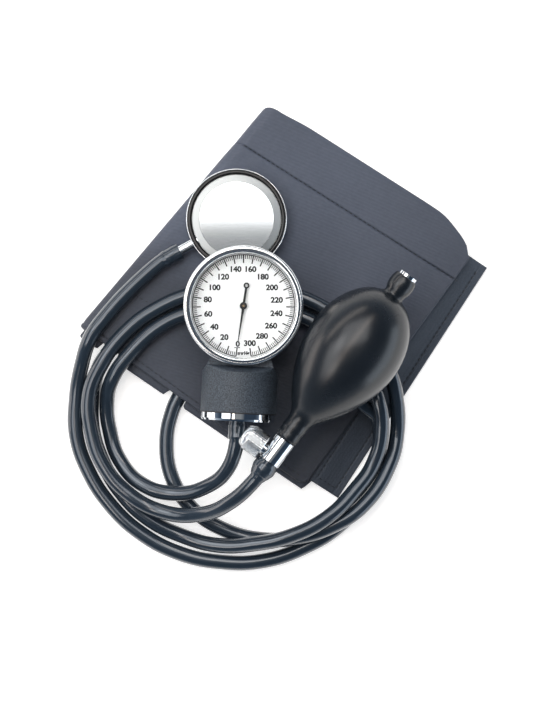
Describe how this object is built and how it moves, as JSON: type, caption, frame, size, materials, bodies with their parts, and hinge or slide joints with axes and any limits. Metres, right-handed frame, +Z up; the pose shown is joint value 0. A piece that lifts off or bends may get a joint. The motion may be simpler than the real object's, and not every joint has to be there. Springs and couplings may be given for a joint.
{
  "type": "aneroid sphygmomanometer",
  "caption": "Blood pressure kit: folded arm cuff with hose ports, round dial gauge on a capsule drum, squeeze bulb with release valve, flat chest piece and long looped hoses.",
  "frame": {"origin": "on the underside of the folded cuff, below the right-hand half of the gauge", "axes": "+Z up from the table through the cuff's leaves, +Y towards the chest piece, +X towards the bulb"},
  "size_m": [0.2086, 0.2274, 0.068],
  "materials": {
    "cuff_nylon": "fine diagonal weave, matt",
    "hook_tape": "woven tape with hooks, matt",
    "bladder_rubber": "smooth, matt",
    "black_plastic": "moulded, satin",
    "black_crinkle": "fine crinkle paint",
    "chrome": "polished plating",
    "glass": "clear",
    "seal_rubber": "smooth",
    "dial_white": "smooth white with a printed scale",
    "pointer_black": "matt",
    "steel": "turned",
    "brass": "turned and lightly brushed",
    "capsule_bronze": "rolled sheet",
    "bulb_rubber": "smooth with a soft sheen",
    "hose_rubber": "smooth with a soft sheen",
    "chest_alloy": "satin",
    "chest_disc_metal": "polished",
    "ring_rubber": "smooth",
    "diaphragm_film": "semi-matt film"
  },
  "bodies": {
    "kit": {"cuff_sleeve": "cuff_nylon", "hook_strip": "hook_tape", "air_bladder": "bladder_rubber", "valve_port": "black_plastic", "gauge_port": "black_plastic", "gauge_housing": "black_crinkle", "bezel": "chrome", "crystal": "glass", "crystal_gasket": "seal_rubber", "dial": "dial_white", "back_plate": "brass", "front_plate": "brass", "pillar_1": "brass", "pillar_2": "brass", "pillar_3": "brass", "plate_screw_1": "steel", "plate_screw_2": "steel", "plate_screw_3": "steel", "hairspring": "steel", "capsule_post": "brass", "lower_diaphragm": "capsule_bronze", "upper_diaphragm": "capsule_bronze", "drum_gasket": "seal_rubber", "base_flange": "chrome", "gauge_nipple": "chrome", "bulb": "bulb_rubber", "intake_body": "chrome", "intake_screen": "steel", "valve_body": "chrome", "outlet_seat": "brass", "needle_o_ring": "seal_rubber", "chest_body": "chest_alloy", "chest_diaphragm": "diaphragm_film", "chest_rim": "chrome", "chest_ring": "ring_rubber", "chest_disc": "chest_disc_metal", "chest_stem": "chrome", "hose_connector": "black_plastic", "gauge_hose": "hose_rubber", "valve_hose": "hose_rubber", "chestpiece_hose": "hose_rubber"},
    "pointer_body": {"pointer": "pointer_black", "pinion_arbor": "steel"},
    "sector_body": {"sector_gear": "brass"},
    "rod_body": {"push_rod": "steel"},
    "needle_body": {"release_needle": "steel"},
    "knob_body": {"release_knob": "chrome"},
    "intake_disc_body": {"intake_disc": "seal_rubber"},
    "outlet_disc_body": {"outlet_disc": "seal_rubber"}
  },
  "joints": [
    {"name": "pointer_turn", "type": "hinge", "parent": "kit", "child": "pointer_body", "pos_m": [-0.0193, -0.00225, 0.0414], "axis": [0, 0, -1], "range_deg": [0, 342.86], "deforming": ["hairspring"]},
    {"name": "sector_swing", "type": "hinge", "parent": "kit", "child": "sector_body", "pos_m": [-0.02395, -0.0146, 0.0323], "axis": [0, 0, 1], "range_deg": [0, 34.29], "stiffness_Nm_per_rad": 0.0005},
    {"name": "push_rod_slide", "type": "slide", "parent": "kit", "child": "rod_body", "axis": [0.0523, 0.9986, 0], "range_m": [0, 0.00236], "deforming": ["upper_diaphragm"]},
    {"name": "release_knob_turn", "type": "hinge", "parent": "needle_body", "child": "knob_body", "pos_m": [-0.00447, -0.0753, 0.04089], "axis": [-0.8018, 0.5976, 0], "range_deg": [0, 450]},
    {"name": "release_needle_slide", "type": "slide", "parent": "kit", "child": "needle_body", "axis": [-0.8018, 0.5976, 0], "range_m": [0, 0.00075]},
    {"name": "intake_disc_lift", "type": "slide", "parent": "kit", "child": "intake_disc_body", "axis": [-0.597, -0.8009, -0.0471], "range_m": [0, 0.0007]},
    {"name": "outlet_disc_lift", "type": "slide", "parent": "kit", "child": "outlet_disc_body", "axis": [-0.597, -0.8009, -0.0471], "range_m": [0, 0.0005]}
  ],
  "couplings": [
    {"joint": "sector_swing", "follows": "push_rod_slide", "rad_per_m": 253.76},
    {"joint": "pointer_turn", "follows": "push_rod_slide", "rad_per_m": 2537.6},
    {"joint": "release_knob_turn", "follows": "release_needle_slide", "rad_per_m": 10472}
  ]
}
